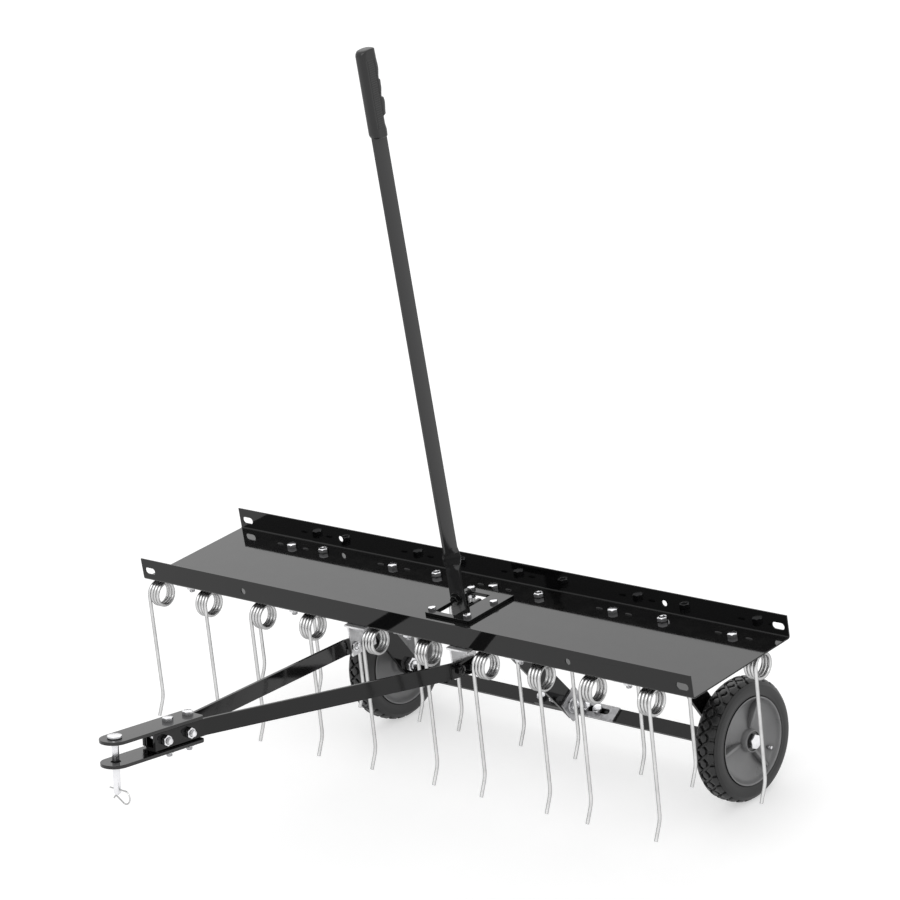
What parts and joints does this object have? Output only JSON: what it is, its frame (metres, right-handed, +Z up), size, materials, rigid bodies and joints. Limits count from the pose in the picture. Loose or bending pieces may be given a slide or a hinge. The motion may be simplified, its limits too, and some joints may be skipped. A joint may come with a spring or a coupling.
{
  "type": "tow-behind dethatcher",
  "caption": "Tow-behind lawn dethatcher: open weight tray over rows of double coil spring tines, lever-raised wheel frame, V-shaped drawbar and pin hitch.",
  "frame": {"origin": "on the ground under the middle of the whole machine, with the wheels standing on it and the tray level", "axes": "+X along the tray, to the machine's right seen from behind it, +Y to the rear, away from the hitch, +Z up, square to the tray's floor"},
  "size_m": [1.016, 0.9224, 1.1011],
  "materials": {
    "black_paint": "gloss black powder coat on sheet and bar steel",
    "zinc": "bright zinc plated fasteners and pins",
    "spring_zinc": "zinc plated spring wire, drawn and coiled",
    "galvanised": "light grey galvanised sheet steel with a faint spangle",
    "rim_plastic": "grey moulded plastic, satin",
    "tyre_rubber": "black semi-pneumatic rubber with a block tread",
    "grip_plastic": "matte black moulded hand grip"
  },
  "bodies": {
    "deck": {"tray": "black_paint", "gate_plate": "black_paint", "gate_bolts": "zinc", "gate_nuts": "zinc", "front_tine_1": "spring_zinc", "front_tine_2": "spring_zinc", "front_tine_3": "spring_zinc", "front_tine_4": "spring_zinc", "front_tine_5": "spring_zinc", "rear_tine_1": "spring_zinc", "rear_tine_2": "spring_zinc", "rear_tine_3": "spring_zinc", "rear_tine_4": "spring_zinc", "rear_tine_5": "spring_zinc", "front_tine_clamps": "galvanised", "rear_tine_clamps": "galvanised", "front_tine_bolts": "zinc", "rear_tine_bolts": "zinc", "tine_nuts": "zinc", "hanger_left": "galvanised", "hanger_right": "galvanised", "floor_bolts": "zinc", "floor_nuts": "zinc", "drawbar_left": "black_paint", "drawbar_right": "black_paint", "drawbar_bolts": "zinc", "drawbar_nuts": "zinc", "hitch_plate_upper": "black_paint", "hitch_plate_lower": "black_paint", "hitch_spacer": "black_paint", "hitch_top_bolts": "zinc", "hitch_side_bolts": "zinc", "hitch_nuts": "zinc", "arm_bracket_left": "galvanised", "arm_bracket_right": "galvanised", "pivot_bolts": "zinc", "pivot_nuts": "zinc"},
    "wheel_frame": {"wheel_arm_left": "black_paint", "wheel_arm_right": "black_paint", "axle_bar": "black_paint", "lift_bracket": "galvanised", "bar_bolts": "zinc", "bar_nuts": "zinc", "lift_strap": "black_paint", "strap_bolt": "zinc", "strap_nut": "zinc", "lever_bar": "black_paint", "lever_bolt": "black_paint", "lever_nut": "black_paint", "lever_grip": "grip_plastic", "axle_bolt_left": "zinc", "axle_bolt_right": "zinc", "axle_nuts": "zinc", "axle_bushes": "zinc"},
    "left_wheel": {"rim_left": "rim_plastic", "tyre_left": "tyre_rubber"},
    "right_wheel": {"rim_right": "rim_plastic", "tyre_right": "tyre_rubber"},
    "tow_pin": {"hitch_pin": "zinc"},
    "pin_clip": {"hair_pin": "zinc"}
  },
  "joints": [
    {"name": "wheel_frame_swing", "type": "hinge", "parent": "deck", "child": "wheel_frame", "pos_m": [0, 0.25353, 0.291], "axis": [1, 0, 0], "range_deg": [0, 34]},
    {"name": "left_wheel_spin", "type": "hinge", "parent": "wheel_frame", "child": "left_wheel", "pos_m": [-0.3262, 0.37418, 0.087], "axis": [1, 0, 0], "continuous": true},
    {"name": "right_wheel_spin", "type": "hinge", "parent": "wheel_frame", "child": "right_wheel", "pos_m": [0.3262, 0.37418, 0.087], "axis": [1, 0, 0], "continuous": true},
    {"name": "hitch_pin_lift", "type": "slide", "parent": "deck", "child": "tow_pin", "axis": [0, 0.1736, 0.9848], "range_m": [0, 0.03]},
    {"name": "hair_pin_pull", "type": "slide", "parent": "tow_pin", "child": "pin_clip", "axis": [1, 0, 0], "range_m": [0, 0.025]}
  ]
}
